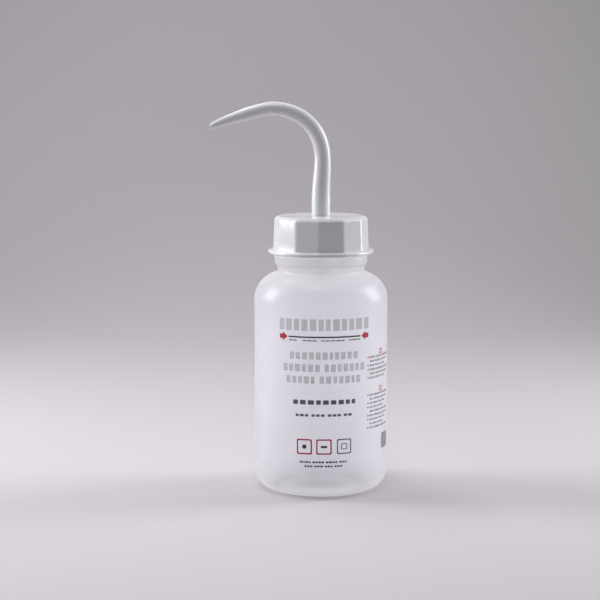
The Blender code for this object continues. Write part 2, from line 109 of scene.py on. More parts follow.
# ---- spout and dip tube -------------------------------------------------------------------------------
SPOUT_FLANGE_WIDTH = 4.8
SPOUT_FLANGE_THICKNESS = 1.2
FOOT_RADIUS = 5.2
BEND_START_RADIUS = 4.55
APEX_RADIUS = 3.85
NOZZLE_START_RADIUS = 3.6
TIP_RADIUS = 1.5
SPOUT_BORE_RADIUS = 2.6
TIP_BORE_RADIUS = 0.7
STRAIGHT_FOOT = 10.0
RISE_TO_BEND = 31.0
LEAN_X = 0.9
APEX_X = -27.6
APEX_HEIGHT = 59.8
TIP_X = -61.5
TIP_HEIGHT = 49.9
TIP_SLOPE = math.radians(27.0)
BEND_HANDLES = (20.1, 13.9)
NOZZLE_HANDLES = (5.6, 5.7)
NOZZLE_SHARE = 7 / 12       # part of the last stretch that is the tapered nozzle
DIP_RADIUS = 3.0
DIP_WALL = 0.8
DIP_LEAN = 9.3
DIP_STRAIGHT = 15.0
DIP_STEPS = 40              # points along the leaning part
DIP_LIP = 0.15              # rounding at the dip tube's ends
SPOUT_LIP = 0.25            # rounding at the tip of the nozzle
STEM_ROUND = 0.3
SEAT_ROUND = 0.2

# ---- surfaces -----------------------------------------------------------------------------------------
SURFACE_IOR = 1.5           # of every surface here
GLOSS_ROUGHNESS = 0.2
FULL_GLOSS = 1.0
THROUGH_VARIES = 0.05       # share by which what shows through a wall goes up and down
THICK_AND_PAINTED_LIGHT_FADE = 0.008          # metres over which the bottle's wall goes from thin to thicker, and from its plain tone to painted light
THICK_AND_PAINTED_LIGHT_HEEL = 0.018          # height at which the thicker heel with its painted light has ended, in metres
THICK_THROUGH = 0.5         # share of the see-through that is left in the thick wall

# ---- print --------------------------------------------------------------------------------------------
INK_LIFT = 0.012            # underside of the ink above the bottle's wall
INK_THICKNESS = 0.05
INK_STEP = 1.0              # widest face of the ink round the bottle
LABEL_TURN = math.radians(3.0)
SIDE_TOP_LINE = 77.6        # height of the first line of each block of small rows at the side
SIDE_LOW_LINE = 56.4
SIDE_LINE_STEP = 2.3
SIDE_LINE_HEIGHT = 1.1
SIDE_LEFT = 27.9            # where the side rows start, round the bottle from the label's middle
BULLET_LEFT = 26.0
BULLET_RIGHT = 27.1
ICON_Z = 30.0               # middle height of the three upright squares

# ---- room, light and camera, in metres ----------------------------------------------------------------
BOTTLE_MIDDLE = (0.0, 0.0, 0.12)
LIGHT_WHITE = (1.0, 0.99, 1.0)
LIGHT_COOL = (0.99, 0.98, 1.0)
SOFTBOX_SPREAD = 120.0      # degrees, as through a grid, so that the light falls off softly on the floor
BACKDROP_SPREAD = 100.0
SKY_TOWARDS = (0.0, 0.45, 0.89)     # the soft fill is strongest from above and a little behind
SKY_LEAST = 0.045
SKY_MOST = 0.43
SKY_SEEN = 0.22             # what the camera sees past the end of the floor
# the paper is darker at the right as painted shade, standing for the weaker light there; its mauve tint is
# the paper's own
PAPER_LEFT = (0.57, 0.525, 0.57)
PAPER_RIGHT_PAINTED_SHADE = (0.485, 0.47, 0.485)
PAPER_TINT_AND_SHADE_REACH = 0.35          # how far to each side the paper's tint and painted shade go on changing
CAMERA_DIP = 7.4            # degrees the camera looks down


# ---- small helpers ------------------------------------------------------------------------------------
def place(angle, radius, height):
    return Vector((radius * math.cos(angle), radius * math.sin(angle), height))


def arc(center, radius, start_deg, end_deg, steps):
    """Points (r, z) on an arc, both ends included."""
    points = []
    for i in range(steps + 1):
        angle = math.radians(start_deg + (end_deg - start_deg) * i / steps)
        points.append((center[0] + radius * math.cos(angle), center[1] + radius * math.sin(angle)))
    return points


def rounded(points, size, closed=True, steps=4):
    """The (r, z) outline with every corner rounded over this length; an open one keeps its two ends."""
    result = []
    count = len(points)
    for i, point in enumerate(points):
        if not closed and i in (0, count - 1):
            result.append(point)
            continue
        corner = Vector(point)
        before = Vector(points[i - 1]) - corner
        after = Vector(points[(i + 1) % count]) - corner
        bite = min(size, before.length * 0.45, after.length * 0.45)
        start = corner + before.normalized() * bite
        end = corner + after.normalized() * bite
        for k in range(steps + 1):
            t = k / steps
            result.append(tuple(start * (1 - t) ** 2 + corner * 2 * t * (1 - t) + end * t * t))
    return result


def bezier(start, start_handle, end_handle, end, steps):
    """Points on a cubic curve, the start left out and the end included."""
    points = []
    for i in range(1, steps + 1):
        t = i / steps
        u = 1.0 - t
        handles = start_handle * 3 * u * u * t + end_handle * 3 * u * t * t
        points.append(start * u**3 + handles + end * t**3)
    return points


def even_angles(count):
    return [math.tau * i / count for i in range(count)]


def finish_mesh(name, bm, body, replaced, materials):
    """Turns the faces outward, makes the object in metres and rides it on its CAD body."""
    bmesh.ops.recalc_face_normals(bm, faces=bm.faces)
    for face in bm.faces:
        face.smooth = True
    mesh = bpy.data.meshes.new(name)
    bm.to_mesh(mesh)
    bm.free()
    mesh.transform(Matrix.Scale(MM, 4))
    mesh.set_sharp_from_angle(angle=math.radians(SHARP_DEGREES))
    for material in materials:
        mesh.materials.append(material)
    obj = bpy.data.objects.new(name, mesh)
    bpy.context.scene.collection.objects.link(obj)
    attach(obj, body)
    if replaced:
        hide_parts(replaced)
    return obj


def flatten_faces(obj):
    """Keeps big flat faces flat in the shading and the rounding to the small faces between them."""
    modifier = obj.modifiers.new("weighted", "WEIGHTED_NORMAL")
    modifier.keep_sharp = True
    modifier.weight = 80


def turned(rows, angles, closed, inner_from=None):
    """A bmesh turned round Z. A row is (radius, z); the radius may be a function of the angle and z.
    Faces from row number inner_from on get the second material."""
    bm = bmesh.new()
    rings = []
    for radius, z in rows:
        if not callable(radius) and radius < TINY:
            rings.append([bm.verts.new((0.0, 0.0, z))])
            continue
        ring = []
        for angle in angles:
            here = radius(angle, z) if callable(radius) else radius
            ring.append(bm.verts.new(place(angle, here, z)))
        rings.append(ring)
    pairs = list(zip(rings, rings[1:]))
    if closed:
        pairs.append((rings[-1], rings[0]))
    count = len(angles)
    for number, (first, second) in enumerate(pairs):
        for i in range(count):
            j = (i + 1) % count
            corners = [
                first[i % len(first)],
                first[j % len(first)],
                second[j % len(second)],
                second[i % len(second)],
            ]
            face = bm.faces.new(list(dict.fromkeys(corners)))
            if inner_from is not None and number >= inner_from:
                face.material_index = 1
    return bm


def tube(stations):
    """A closed bmesh through rings across the XZ plane; a station is (centre, direction, radius)."""
    bm = bmesh.new()
    side = Vector((0.0, 1.0, 0.0))
    rings = []
    for center, direction, radius in stations:
        across = side.cross(direction).normalized()
        ring = []
        for angle in even_angles(TUBE_SEGMENTS):
            offset = side * math.cos(angle) + across * math.sin(angle)
            ring.append(bm.verts.new(center + offset * radius))
        rings.append(ring)
    for first, second in zip(rings, rings[1:] + rings[:1]):
        for i in range(TUBE_SEGMENTS):
            j = (i + 1) % TUBE_SEGMENTS
            bm.faces.new((first[i], first[j], second[j], second[i]))
    return bm


def directions(points):
    """The path's direction at each of its points."""
    result = []
    last = len(points) - 1
    for i in range(len(points)):
        step = points[min(i + 1, last)] - points[max(i - 1, 0)]
        result.append(step.normalized())
    return result


def thread_radius(root, height, low_z):
    """The radius of a wall with one helical ridge on it, as a function of the angle and z."""

    def radius(angle, z):
        rise = 0.0
        turn = angle % math.tau / math.tau
        for lap in range(math.ceil(THREAD_TURNS)):
            along = turn + lap
            if along > THREAD_TURNS:
                continue
            off = abs(z - (low_z + THREAD_PITCH * along))
            flank = (THREAD_ROOT_WIDTH - THREAD_CREST_WIDTH) / 2
            shape = min(1.0, max(0.0, (THREAD_ROOT_WIDTH / 2 - off) / flank))
            fade = min(1.0, max(0.0, min(along, THREAD_TURNS - along) / THREAD_FADE))
            smooth = shape * shape * (3 - 2 * shape)
            rise = max(rise, smooth * fade)
        return root + height * rise

    return radius


def threaded_rows(radius, low_z, high_z):
    count = math.ceil(abs(high_z - low_z) / THREAD_ROW)
    return [(radius, low_z + (high_z - low_z) * i / count) for i in range(count + 1)]


# ---- frame and sizes read from it ---------------------------------------------------------------------
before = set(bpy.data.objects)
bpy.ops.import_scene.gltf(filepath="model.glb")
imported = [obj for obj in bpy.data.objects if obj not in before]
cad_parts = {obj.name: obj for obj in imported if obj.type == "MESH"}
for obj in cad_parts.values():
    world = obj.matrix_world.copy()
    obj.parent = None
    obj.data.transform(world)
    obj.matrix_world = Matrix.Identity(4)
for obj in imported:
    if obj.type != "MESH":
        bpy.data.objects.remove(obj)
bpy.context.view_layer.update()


def node_box(node):
    """Lowest and highest corner of a CAD node, in millimetres."""
    low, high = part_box(node)
    return low / MM, high / MM


_, bottle_high = node_box("bottle")
cap_low, cap_high = node_box("screw_cap")
liner_low, liner_high = node_box("cap_liner")
gasket_low, gasket_high = node_box("rim_gasket")
insert_low, insert_high = node_box("sealing_insert")
spout_low, _ = node_box("spout")
dip_low, dip_high = node_box("dip_tube")

BODY_RADIUS = bottle_high.x
BASE_RING_OUTER = BODY_RADIUS - HEEL_RADIUS - BASE_LAND
NECK_RADIUS = FINISH_RADIUS + NECK_STEP
COLLAR_RADIUS = FINISH_RADIUS + COLLAR_STEP
MOUTH_RADIUS = FINISH_RADIUS - FINISH_WALL
RIM_Z = bottle_high.z
COLLAR_Z = SIDE_HEIGHT + SHOULDER_RADIUS + NECK_HEIGHT
FINISH_Z = COLLAR_Z + COLLAR_HEIGHT

CAP_BOTTOM_Z = cap_low.z
CAP_TOP_Z = cap_high.z
CAP_CEILING_Z = CAP_TOP_Z - CAP_ROOF
CAP_BORE_RADIUS = FINISH_RADIUS + THREAD_HEIGHT + SLIP_GAP
CAP_FLAT_RADIUS = CAP_BORE_RADIUS + CAP_WALL
CAP_CORNER_RADIUS = CAP_FLAT_RADIUS / math.cos(math.pi / CAP_SIDES)
SKIRT_RADIUS = CAP_CORNER_RADIUS + SKIRT_REACH
CAP_HOLE_RADIUS = FOOT_RADIUS + SLIP_GAP
CAP_THREAD_Z = CAP_BOTTOM_Z + THREAD_LEAD_IN + THREAD_ROOT_WIDTH / 2
NECK_THREAD_Z = CAP_THREAD_Z + THREAD_PITCH / 2
LINER_Z = liner_low.z
LINER_RADIUS = liner_high.x
INSERT_TOP_Z = insert_high.z
INSERT_RADIUS = insert_high.x
PLUG_RADIUS = MOUTH_RADIUS - SLIP_GAP
STEM_Z = spout_low.z
DIP_TOP_Z = dip_high.z


# ---- materials ----------------------------------------------------------------------------------------
class Nodes:
    """Short calls for one material's node tree."""

    def __init__(self, name):
        self.material = bpy.data.materials.new(name)
        self.material.use_nodes = True
        self.tree = self.material.node_tree
        self.tree.nodes.clear()
        self.output = self.add("ShaderNodeOutputMaterial")
        self.coords = self.add("ShaderNodeTexCoord")

    def add(self, kind, **values):
        node = self.tree.nodes.new(kind)
        for key, value in values.items():
            setattr(node, key, value)
        return node

    def link(self, source, target):
        self.tree.links.new(source, target)

    def stretched(self, scale):
        """Object coordinates with their own scale along each axis."""
        mapping = self.add("ShaderNodeMapping")
        mapping.inputs["Scale"].default_value = scale
        self.link(self.coords.outputs["Object"], mapping.inputs["Vector"])
        return mapping.outputs["Vector"]

    def noise(self, scale, detail=3.0, roughness=0.5, vector=None, distortion=0.0):
        node = self.add("ShaderNodeTexNoise")
        node.inputs["Scale"].default_value = scale
        node.inputs["Detail"].default_value = detail
        node.inputs["Roughness"].default_value = roughness
        node.inputs["Distortion"].default_value = distortion
        self.link(vector or self.coords.outputs["Object"], node.inputs["Vector"])
        return node.outputs["Fac"]

    def ramp(self, value, low, high, from_low=0.3, from_high=0.7):
        """The value spread over low to high."""
        node = self.add("ShaderNodeMapRange")
        node.inputs["From Min"].default_value = from_low
        node.inputs["From Max"].default_value = from_high
        node.inputs["To Min"].default_value = low
        node.inputs["To Max"].default_value = high
        self.link(value, node.inputs["Value"])
        return node.outputs["Result"]

    def two_colors(self, value, first, second, from_low=0.3, from_high=0.7):
        node = self.add("ShaderNodeValToRGB")
        node.color_ramp.elements[0].position = from_low
        node.color_ramp.elements[0].color = (*first, 1.0)
        node.color_ramp.elements[1].position = from_high
        node.color_ramp.elements[1].color = (*second, 1.0)
        self.link(value, node.inputs["Fac"])
        return node.outputs["Color"]

    def bump(self, height, strength, distance, below=None):
        node = self.add("ShaderNodeBump")
        node.inputs["Strength"].default_value = strength
        node.inputs["Distance"].default_value = distance
        self.link(height, node.inputs["Height"])
        if below is not None:
            self.link(below, node.inputs["Normal"])
        return node.outputs["Normal"]

    def math(self, kind, first, second):
        node = self.add("ShaderNodeMath", operation=kind)
        for value, socket in zip((first, second), node.inputs):
            if isinstance(value, (int, float)):
                socket.default_value = value
            else:
                self.link(value, socket)
        return node.outputs["Value"]

    def principled(self, color, roughness, normal):
        node = self.add("ShaderNodeBsdfPrincipled")
        self.link(color, node.inputs["Base Color"])
        self.link(roughness, node.inputs["Roughness"])
        node.inputs["IOR"].default_value = SURFACE_IOR
        self.link(normal, node.inputs["Normal"])
        return node

    def translucent(self, color, normal):
        node = self.add("ShaderNodeBsdfTranslucent")
        self.link(color, node.inputs["Color"])
        self.link(normal, node.inputs["Normal"])
        return node.outputs["BSDF"]

    def mix(self, share, first, second):
        """share of the second shader over the first; share is a number or a socket."""
        node = self.add("ShaderNodeMixShader")
        if isinstance(share, (int, float)):
            node.inputs["Fac"].default_value = share
        else:
            self.link(share, node.inputs["Fac"])
        self.link(first, node.inputs[1])
        self.link(second, node.inputs[2])
        return node.outputs["Shader"]

    def show(self, shader):
        self.link(shader, self.output.inputs["Surface"])
        return self.material


def milky_plastic(name, light, dark, glow, through, satin, glow_share, shine=0.0, thick_and_painted_light_from=None):
    """Blow-moulded polyethylene: satin skin, a milky glow from inside, and a little that shows through.
    glow_share is how much of it glows, and shine the share of a clear gloss over it. Above the height passed
    last, and at the heel, the wall is thicker, so less shows through. It is also painted whiter there:
    painted light that lifts the shade on the neck and the heel."""
    n = Nodes(name)
    cloud = n.noise(38.0, 3.0, 0.55)
    wave = n.noise(90.0, 2.0, 0.5, n.stretched((1.0, 1.0, 0.35)))
    fine = n.noise(1400.0, 4.0, 0.6)
    share = n.ramp(cloud, through * (1.0 + THROUGH_VARIES), through * (1.0 - THROUGH_VARIES))
    tone = cloud
    if thick_and_painted_light_from is not None:
        split = n.add("ShaderNodeSeparateXYZ")
        n.link(n.coords.outputs["Object"], split.inputs["Vector"])
        neck = n.ramp(split.outputs["Z"], 0.0, 1.0, thick_and_painted_light_from - THICK_AND_PAINTED_LIGHT_FADE, thick_and_painted_light_from)
        heel = n.ramp(split.outputs["Z"], 1.0, 0.0, 0.0, THICK_AND_PAINTED_LIGHT_HEEL)
        thick_and_painted_light = n.math("MAXIMUM", neck, heel)
        # painted light: the neck and the heel are painted whiter to lift the shade on them
        tone = n.math("ADD", n.math("MULTIPLY", cloud, 0.2), n.math("MULTIPLY", thick_and_painted_light, 0.6))
        share = n.math("MULTIPLY", share, n.ramp(thick_and_painted_light, 1.0, THICK_THROUGH, 0.0, 1.0))
    color = n.two_colors(tone, dark, light, 0.0, 0.7)
    roughness = n.ramp(fine, satin - 0.05, satin + 0.07)
    normal = n.bump(wave, 0.25, 0.0006)
    normal = n.bump(fine, 0.12, 0.00006, normal)
    skin = n.principled(color, roughness, normal)
    skin.inputs["Specular IOR Level"].default_value = 0.5 + 0.5 * shine
    skin.inputs["Coat Weight"].default_value = shine
    skin.inputs["Coat Roughness"].default_value = GLOSS_ROUGHNESS
    inside = n.translucent(n.two_colors(tone, glow, light, 0.0, 0.7), normal)
    body = n.mix(glow_share, skin.outputs["BSDF"], inside)
    clear = n.add("ShaderNodeBsdfTransparent")
    return n.show(n.mix(share, body, clear.outputs["BSDF"]))


def gloss_plastic(name, light, dark, low_rough, high_rough):
    """Injection-moulded polypropylene: glossy, faint flow ripples and fine handling scratches."""
    n = Nodes(name)
    cloud = n.noise(55.0, 3.0, 0.5)
    flow = n.noise(120.0, 2.0, 0.5, n.stretched((1.0, 1.0, 0.4)), 0.4)
    scratch = n.noise(260.0, 5.0, 0.75, n.stretched((1.0, 1.0, 9.0)))
    color = n.two_colors(cloud, dark, light)
    roughness = n.ramp(scratch, low_rough, high_rough, 0.35, 0.75)
    normal = n.bump(flow, 0.18, 0.0004)
    normal = n.bump(scratch, 0.05, 0.00004, normal)
    skin = n.principled(color, roughness, normal)
    return n.show(skin.outputs["BSDF"])


def foam(name, light, dark):
    """Soft cellular foam for the liner and the gasket."""
    n = Nodes(name)
    cells = n.add("ShaderNodeTexVoronoi")
    cells.inputs["Scale"].default_value = 1800.0
    n.link(n.coords.outputs["Object"], cells.inputs["Vector"])
    spread = n.noise(300.0, 3.0, 0.6)
    color = n.two_colors(spread, dark, light)
    roughness = n.ramp(spread, 0.62, 0.8)
    normal = n.bump(cells.outputs["Distance"], 0.5, 0.00015)
    return n.show(n.principled(color, roughness, normal).outputs["BSDF"])


def ink(name, light, dark, through):
    """Screen-printed ink: thin, slightly matt, with the mesh's faint grain and the bottle glowing through."""
    n = Nodes(name)
    grain = n.noise(2600.0, 3.0, 0.6)
    color = n.two_colors(grain, dark, light)
    roughness = n.ramp(grain, 0.42, 0.6)
    normal = n.bump(grain, 0.15, 0.00002)
    skin = n.principled(color, roughness, normal)
    clear = n.add("ShaderNodeBsdfTransparent")
    share = n.ramp(grain, through * 0.93, through * 1.07)
    return n.show(n.mix(share, skin.outputs["BSDF"], clear.outputs["BSDF"]))


LDPE_OUTER = milky_plastic(
    "ldpe_outer",
    (0.985, 0.985, 0.99),
    (0.82, 0.825, 0.86),
    (0.83, 0.835, 0.87),
    through=0.30,
    satin=0.25,
    glow_share=0.78,
    shine=FULL_GLOSS,
    # the neck above this height, and the heel, get painted light: a whiter tone that lifts their shade
    thick_and_painted_light_from=(COLLAR_Z - NECK_HEIGHT) * MM,
)
LDPE_INNER = milky_plastic(
    "ldpe_inner",
    (0.96, 0.96, 0.975),
    (0.94, 0.94, 0.96),
    (0.97, 0.97, 0.985),
    through=0.80,
    satin=0.40,
    glow_share=0.75,
)
CAP_WHITE = gloss_plastic("pp_gloss_white", (0.79, 0.80, 0.82), (0.75, 0.76, 0.785), 0.07, 0.17)
SPOUT_WHITE = gloss_plastic("pe_spout_white", (0.79, 0.80, 0.83), (0.75, 0.765, 0.795), 0.22, 0.34)
INSERT_WHITE = milky_plastic(
    "pe_insert",
    (0.90, 0.90, 0.92),
    (0.85, 0.86, 0.88),
    (0.92, 0.93, 0.95),
    through=0.10,
    satin=0.34,
    glow_share=0.5,
)
DIP_CLEAR = milky_plastic(
    "pe_dip_tube",
    (0.99, 0.99, 0.98),
    (0.98, 0.98, 0.97),
    (0.99, 0.99, 0.98),
    through=0.3,
    satin=0.2,
    glow_share=0.6,
    shine=FULL_GLOSS,
)
LINER_FOAM = foam("liner_foam", (0.86, 0.86, 0.87), (0.78, 0.78, 0.80))
GASKET_SOFT = foam("gasket_soft", (0.72, 0.72, 0.73), (0.64, 0.64, 0.66))
INK_GREY = ink("ink_grey", (0.34, 0.32, 0.34), (0.28, 0.265, 0.28), 0.76)
INK_DARK = ink("ink_dark", (0.045, 0.045, 0.055), (0.03, 0.03, 0.04), 0.04)
INK_SOFT = ink("ink_soft_dark", (0.14, 0.14, 0.16), (0.10, 0.10, 0.12), 0.20)
INK_PALE = ink("ink_pale", (0.20, 0.20, 0.22), (0.15, 0.15, 0.17), 0.50)
INK_RED = ink("ink_red", (0.62, 0.03, 0.08), (0.52, 0.02, 0.06), 0.12)


# ---- bottle -------------------------------------------------------------------------------------------
def seamed(radius):
    """A wall radius with the mould's parting line, on the sides towards +X and -X."""

    def with_seam(angle, _z):
        off = abs(math.sin(angle)) * radius
        share = max(0.0, 1.0 - off / SEAM_HALF_WIDTH)
        return radius + SEAM_RISE * share * share * (3 - 2 * share)

    return with_seam


def bottle_angles():
    """Even angles, with close ones added where the parting line runs."""
    close = SEAM_HALF_WIDTH / BODY_RADIUS
    seams = (0.0, math.pi)
    extra = [seam + close * k / 3 for seam in seams for k in (-3, -2, -1, 1, 2, 3)]
    too_near = math.tau / SEGMENTS / 4
    even = []
    for angle in even_angles(SEGMENTS):
        if angle in seams or all(abs(angle - other) > too_near for other in extra):
            even.append(angle)
    return sorted(set(angle % math.tau for angle in even + extra))


def make_bottle():
    shoulder = (BODY_RADIUS - SHOULDER_RADIUS, SIDE_HEIGHT)
    floor = BASE_RING_DEPTH + BODY_WALL
    inner_radius = BODY_RADIUS - BODY_WALL
    inner_heel = HEEL_RADIUS - BODY_WALL
    inner_shoulder = SHOULDER_RADIUS - BODY_WALL
    neck_bore = NECK_RADIUS - NECK_WALL
    bore_angle = math.degrees(math.acos((neck_bore - shoulder[0]) / inner_shoulder))

    base = [
        (0.0, 0.0),
        (BASE_RING_INNER, 0.0),
        (BASE_RING_INNER + BASE_RING_DEPTH, BASE_RING_DEPTH),
        (BASE_RING_OUTER - BASE_RING_DEPTH, BASE_RING_DEPTH),
        (BASE_RING_OUTER, 0.0),
        (BODY_RADIUS - HEEL_RADIUS, 0.0),
    ]
    outer = rounded(base, BASE_ROUND, closed=False, steps=3)
    sides = arc((BODY_RADIUS - HEEL_RADIUS, HEEL_RADIUS), HEEL_RADIUS, -90.0, 0.0, 16)[1:]
    for share in (0.25, 0.5, 0.75):
        sides.append((BODY_RADIUS, HEEL_RADIUS + (SIDE_HEIGHT - HEEL_RADIUS) * share))
    # a small fillet runs from the shoulder into the neck, tangent to both
    reach = SHOULDER_RADIUS + NECK_FILLET
    fillet_out = NECK_RADIUS + NECK_FILLET - shoulder[0]
    fillet = (NECK_RADIUS + NECK_FILLET, SIDE_HEIGHT + math.sqrt(reach**2 - fillet_out**2))
    touch = math.degrees(math.acos(fillet_out / reach))
    sides += arc(shoulder, SHOULDER_RADIUS, 0.0, touch, 24)
    outer += [(seamed(r), z) for r, z in sides]
    outer += arc(fillet, NECK_FILLET, 180.0 + touch, 180.0, 6)[1:]
    collar = [
        (NECK_RADIUS, fillet[1] + 0.4),
        (NECK_RADIUS, COLLAR_Z),
        (COLLAR_RADIUS, COLLAR_Z),
        (COLLAR_RADIUS, FINISH_Z),
        (FINISH_RADIUS, FINISH_Z),
        (FINISH_RADIUS, FINISH_Z + 1.2),
    ]
    outer += rounded(collar, COLLAR_ROUND, closed=False)
    wall = thread_radius(FINISH_RADIUS, THREAD_HEIGHT, NECK_THREAD_Z)
    ridge_low = NECK_THREAD_Z - THREAD_ROOT_WIDTH / 2 - THREAD_MARGIN
    ridge_high = NECK_THREAD_Z + THREAD_PITCH * THREAD_TURNS + THREAD_ROOT_WIDTH / 2 + THREAD_MARGIN
    outer += threaded_rows(wall, ridge_low, ridge_high)
    inner_rim = [
        (FINISH_RADIUS, ridge_high + 0.3),
        (FINISH_RADIUS, RIM_Z),
        (MOUTH_RADIUS, RIM_Z),
        (MOUTH_RADIUS, RIM_Z - 4.0),
    ]
    outer += rounded(inner_rim, COLLAR_ROUND, closed=False)
    inner = [(MOUTH_RADIUS, FINISH_Z), (neck_bore, COLLAR_Z)]
    inner += arc(shoulder, inner_shoulder, bore_angle, 0.0, 18)
    inner += arc((inner_radius - inner_heel, floor + inner_heel), inner_heel, 0.0, -90.0, 12)
    inner.append((0.0, floor))
    bm = turned(outer + inner, bottle_angles(), closed=False, inner_from=len(outer) - 1)
    return finish_mesh("bottle_shell", bm, "bottle", "bottle", [LDPE_OUTER, LDPE_INNER])


# ---- screw cap ----------------------------------------------------------------------------------------
def cap_angles():
    """Angles round the cap, close together at its rounded corners."""
    half = math.pi / CAP_SIDES
    lateral = CAP_FLAT_RADIUS * math.tan(half) - CAP_EDGE_ROUND
    corner_start = math.atan(lateral / CAP_FLAT_RADIUS)
    angles = []
    for side in range(CAP_SIDES):
        middle = CAP_TURN - math.pi / 2 + half * (2 * side + 1)
        for i in range(FLAT_STEPS):
            angles.append(middle - corner_start + 2 * corner_start * i / FLAT_STEPS)
        for i in range(CORNER_STEPS):
            angles.append(middle + corner_start + 2 * (half - corner_start) * i / CORNER_STEPS)
    return sorted(a % math.tau for a in angles)


def cap_outline(flat_radius, squareness=1.0, circle=None):
    """Radius of the rounded twelve-sided outline, or of a blend from it to a circle."""
    half = math.pi / CAP_SIDES
    edge_round = CAP_EDGE_ROUND / math.tan(half)
    corner_center = (flat_radius - edge_round) / math.cos(half)

    def radius(angle, _z):
        phi = (angle - CAP_TURN + math.pi / 2) % (2 * half) - half
        lateral = (flat_radius - edge_round) * math.tan(half)
        if abs(math.tan(phi)) * flat_radius <= lateral:
            polygon = flat_radius / math.cos(phi)
        else:
            off = half - abs(phi)
            inside = edge_round**2 - (corner_center * math.sin(off)) ** 2
            polygon = corner_center * math.cos(off) + math.sqrt(max(0.0, inside))
        if circle is None:
            return polygon
        return polygon * squareness + circle * (1.0 - squareness)

    return radius


def make_screw_cap():
    skirt_round = SKIRT_HEIGHT / 2
    skirt_mid = CAP_BOTTOM_Z + skirt_round
    skirt_top = CAP_BOTTOM_Z + SKIRT_HEIGHT

    def flat_radius(z):
        return CAP_FLAT_RADIUS - CAP_DRAFT * (z - skirt_mid) / (CAP_TOP_Z - skirt_mid)

    rows = [(CAP_BORE_RADIUS + 0.5, CAP_BOTTOM_Z)]
    rows += arc((SKIRT_RADIUS - skirt_round, skirt_mid), skirt_round, -90.0, 90.0, 12)
    fillet = SKIRT_FILLET
    foot = flat_radius(skirt_top)
    rows.append((cap_outline(foot + fillet, 0.8, foot + 2 * fillet), skirt_top))
    rows.append((cap_outline(foot + fillet * 0.3), skirt_top + fillet * 0.3))
    rows.append((cap_outline(flat_radius(skirt_top + fillet)), skirt_top + fillet))
    round_low = CAP_TOP_Z - CAP_TOP_ROUND
    for share in (0.3, 0.6):
        z = skirt_top + fillet + (round_low - skirt_top - fillet) * share
        rows.append((cap_outline(flat_radius(z)), z))
    bevel = [
        (0.0, round_low - CAP_TOP_ROUND),
        (0.0, round_low),
        (CAP_TOP_ROUND, CAP_TOP_Z),
        (2 * CAP_TOP_ROUND, CAP_TOP_Z),
    ]
    for inset, z in rounded(bevel, BEVEL_SOFTENING, closed=False)[1:-1]:
        rows.append((cap_outline(flat_radius(round_low) - inset), z))
    top_edge = flat_radius(round_low) - CAP_TOP_ROUND - BEVEL_SOFTENING
    for share in (0.25, 0.5, 0.75):
        circle = top_edge + (CAP_HOLE_RADIUS - top_edge) * share
        rows.append((cap_outline(circle, 1.0 - share, circle), CAP_TOP_Z))
    hole = [
        (CAP_HOLE_RADIUS + 1.5, CAP_TOP_Z),
        (CAP_HOLE_RADIUS, CAP_TOP_Z),
        (CAP_HOLE_RADIUS, CAP_CEILING_Z),
        (CAP_HOLE_RADIUS + 1.5, CAP_CEILING_Z),
    ]
    rows += rounded(hole, CAP_HOLE_ROUND, closed=False)
    bead_radius = CAP_BORE_RADIUS - THREAD_HEIGHT - SLIP_GAP / 2
    bead_top = LINER_Z - SEAT_GAP
    inside = [
        (CAP_HOLE_RADIUS + 4.0, CAP_CEILING_Z),
        (CAP_BORE_RADIUS, CAP_CEILING_Z),
        (CAP_BORE_RADIUS, bead_top),
        (bead_radius, bead_top),
        (bead_radius, bead_top - BEAD_WIDTH),
        (CAP_BORE_RADIUS, bead_top - BEAD_WIDTH),
        (CAP_BORE_RADIUS, bead_top - BEAD_WIDTH - 2.0),
    ]
    rows += rounded(inside, CAP_INSIDE_ROUND, closed=False, steps=3)
    wall = thread_radius(CAP_BORE_RADIUS, -THREAD_HEIGHT, CAP_THREAD_Z)
    ridge_high = CAP_THREAD_Z + THREAD_PITCH * THREAD_TURNS + THREAD_ROOT_WIDTH / 2 + THREAD_MARGIN
    ridge_low = CAP_THREAD_Z - THREAD_ROOT_WIDTH / 2
    rows += threaded_rows(wall, ridge_high, ridge_low)
    rows.append((CAP_BORE_RADIUS, CAP_BOTTOM_Z + 0.25))
    bm = turned(rows, cap_angles(), closed=True)
    cap = finish_mesh("cap_shell", bm, "cap", "screw_cap", [CAP_WHITE])
    flatten_faces(cap)
    return cap


# ---- liner, gasket and sealing insert -----------------------------------------------------------------
def make_ring(name, inner, outer, low, high, rounding, body, replaced, material):
    corners = [(inner, low), (outer, low), (outer, high), (inner, high)]
    bm = turned(rounded(corners, rounding), even_angles(SEGMENTS), closed=True)
    return finish_mesh(name, bm, body, replaced, [material])


def make_sealing_insert():
    plug_z = insert_low.z
    plug_bore = PLUG_RADIUS - PLUG_WALL
    recess = FOOT_RADIUS + SPOUT_FLANGE_WIDTH + SLIP_GAP
    recess_z = INSERT_TOP_Z - SPOUT_FLANGE_THICKNESS - SEAT_GAP
    web_z = recess_z - WEB_THICKNESS
    flange_z = INSERT_TOP_Z - FLANGE_THICKNESS
    socket_z = INSERT_TOP_Z - SOCKET_DEPTH
    socket_bore = FOOT_RADIUS + SLIP_GAP
    socket_radius = socket_bore + SOCKET_WALL
    corners = [
        (recess, INSERT_TOP_Z),
        (INSERT_RADIUS, INSERT_TOP_Z),
        (INSERT_RADIUS, flange_z),
        (PLUG_RADIUS, flange_z),
        (PLUG_RADIUS, plug_z + PLUG_LEAD),
        (PLUG_RADIUS - PLUG_WALL / 2, plug_z),
        (plug_bore, plug_z),
        (plug_bore, flange_z),
        (recess + WEB_THICKNESS, flange_z),
        (recess + WEB_THICKNESS, web_z),
        (socket_radius, web_z),
        (socket_radius, socket_z),
        (socket_bore, socket_z),
        (socket_bore, recess_z),
        (recess, recess_z),
    ]
    bm = turned(rounded(corners, INSERT_ROUND, steps=3), even_angles(SEGMENTS), closed=True)
    return finish_mesh("insert_shell", bm, "closure", "sealing_insert", [INSERT_WHITE])


